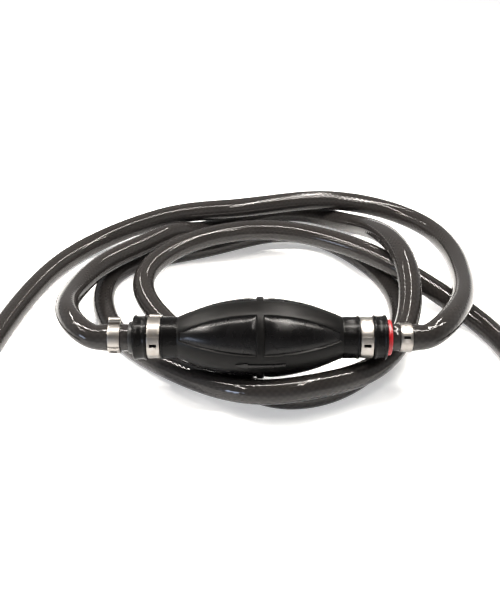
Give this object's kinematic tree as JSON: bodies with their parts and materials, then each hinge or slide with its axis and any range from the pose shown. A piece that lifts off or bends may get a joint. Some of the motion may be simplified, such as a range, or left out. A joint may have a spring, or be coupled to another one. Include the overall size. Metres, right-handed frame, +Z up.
{
  "type": "squeeze bulb siphon pump with hose",
  "caption": "Hand siphon pump: black rubber squeeze bulb with a sprung check valve in each neck, steel strip clamps and rubber hose lying in loose loops.",
  "frame": {"origin": "middle of the bulb, on its long axis", "axes": "+X along the bulb to the inlet end with the red flange, +Y to the back, +Z up, with the floor 42 mm below the origin"},
  "size_m": [0.384, 0.2951, 0.0682],
  "materials": {
    "bulb_rubber": "satin moulded rubber",
    "hose_rubber": "semi-gloss rubber with a fine knit texture",
    "seal_rubber": "matte",
    "steel": "bright rolled strip and drawn wire",
    "red_plastic": "gloss",
    "black_plastic": "satin",
    "white_plastic": "satin"
  },
  "bodies": {
    "pump": {"bulb_shell": "bulb_rubber", "outlet_valve_body": "black_plastic", "outlet_valve_seat": "white_plastic", "outlet_spring": "steel", "inlet_valve_body": "red_plastic", "inlet_spring_cage": "white_plastic", "inlet_spring": "steel", "outlet_neck_clamp": "steel", "outlet_hose_clamp": "steel", "inlet_neck_clamp": "steel", "inlet_hose_clamp": "steel", "outlet_hose_cuff": "hose_rubber", "outlet_hose": "hose_rubber", "outlet_hose_tip": "hose_rubber", "inlet_hose_cuff": "hose_rubber", "inlet_hose": "hose_rubber", "inlet_hose_tip": "hose_rubber"},
    "front_wall": {"front_squeeze_panel": "bulb_rubber"},
    "rear_wall": {"rear_squeeze_panel": "bulb_rubber"},
    "outlet_valve": {"outlet_poppet": "white_plastic", "outlet_poppet_seal": "seal_rubber"},
    "inlet_valve": {"inlet_poppet": "white_plastic", "inlet_poppet_seal": "seal_rubber"}
  },
  "joints": [
    {"name": "front_squeeze", "type": "slide", "parent": "pump", "child": "front_wall", "axis": [0, 0.7771, -0.6293], "range_m": [0, 0.008], "stiffness_N_per_m": 1500},
    {"name": "rear_squeeze", "type": "slide", "parent": "pump", "child": "rear_wall", "axis": [0, -0.7771, 0.6293], "range_m": [0, 0.008], "stiffness_N_per_m": 1500},
    {"name": "outlet_poppet_slide", "type": "slide", "parent": "pump", "child": "outlet_valve", "axis": [-1, 0, 0], "range_m": [0, 0.003], "stiffness_N_per_m": 100, "springref_m": -0.001, "deforming": ["outlet_spring"]},
    {"name": "inlet_poppet_slide", "type": "slide", "parent": "pump", "child": "inlet_valve", "axis": [-1, 0, 0], "range_m": [0, 0.003], "stiffness_N_per_m": 100, "springref_m": -0.001, "deforming": ["inlet_spring"]}
  ],
  "couplings": [
    {"joint": "rear_squeeze", "follows": "front_squeeze", "ratio": 1}
  ]
}
